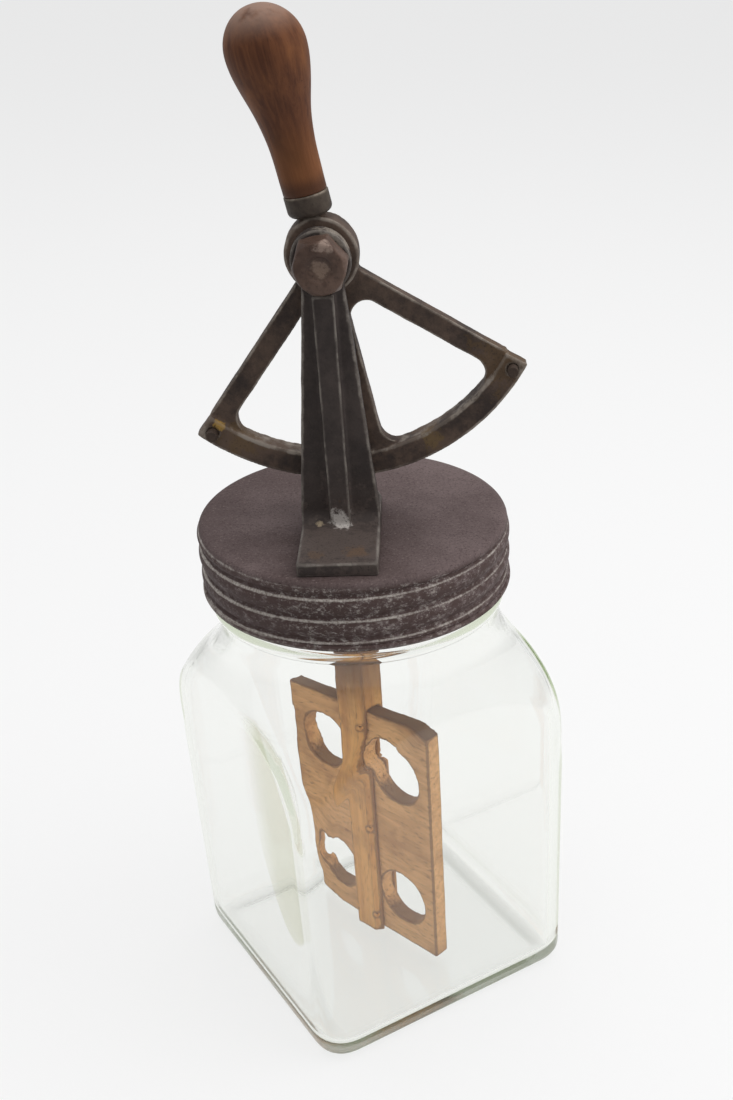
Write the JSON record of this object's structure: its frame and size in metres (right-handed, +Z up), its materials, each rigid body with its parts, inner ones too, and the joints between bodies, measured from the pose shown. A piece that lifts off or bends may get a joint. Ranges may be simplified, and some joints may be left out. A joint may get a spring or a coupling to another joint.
{
  "type": "glass jar butter churn",
  "caption": "Square glass jar butter churn with a brown screw cap; a lever with a toothed iron quadrant swings on a stand and turns a wooden dasher.",
  "frame": {"origin": "centre of the jar's base, on the surface it stands on", "axes": "+Z up; X along the plane of the toothed quadrant, the handle leaning to -X; -Y towards the front, the post's side of the quadrant"},
  "size_m": [0.1646, 0.1646, 0.3974],
  "materials": {
    "glass": "clear pressed glass with a slight green tint",
    "cap": "aged brown sheet steel, worn pale along the rolled bands",
    "iron": "old dark paint worn to brown iron, bare on the edges",
    "bolt": "dark rusted iron",
    "steel": "dull aged steel",
    "brass": "dull brass",
    "gasket": "old red-brown rubber",
    "grip": "red-brown varnished turned wood",
    "dasher": "bare light wood"
  },
  "bodies": {
    "jar": {"jar": "glass"},
    "cap": {"screw_cap": "cap", "cap_gasket": "gasket", "standard": "iron", "backing_plate": "steel", "foot_screws": "steel", "spindle_bush": "brass", "thrust_washer": "steel", "pivot_bolt": "bolt", "pivot_washers": "steel", "pivot_nut": "bolt"},
    "lever": {"quadrant": "iron", "stop_pins": "bolt", "handle_ferrule": "steel", "handle_grip": "grip"},
    "dasher": {"spindle": "steel", "pinion": "iron", "pinion_pin": "steel", "dasher_washer": "steel", "dasher_shaft": "dasher", "dasher_pin": "steel", "front_blade": "dasher", "rear_blade": "dasher", "blade_nails": "steel"}
  },
  "joints": [
    {"name": "cap_lift", "type": "slide", "parent": "jar", "child": "cap", "axis": [0, 0, 1], "range_m": [0, 0.21]},
    {"name": "lever_swing", "type": "hinge", "parent": "cap", "child": "lever", "pos_m": [-0.0036, 0, 0.3217], "axis": [0, 1, 0], "range_deg": [-23.8, 46.6]},
    {"name": "dasher_spin", "type": "hinge", "parent": "cap", "child": "dasher", "pos_m": [-0.0036, 0.0031, 0.2], "axis": [0, 0, 1], "range_deg": [-443.4, 226.8]}
  ],
  "couplings": [
    {"joint": "dasher_spin", "follows": "lever_swing", "ratio": -9.5}
  ]
}
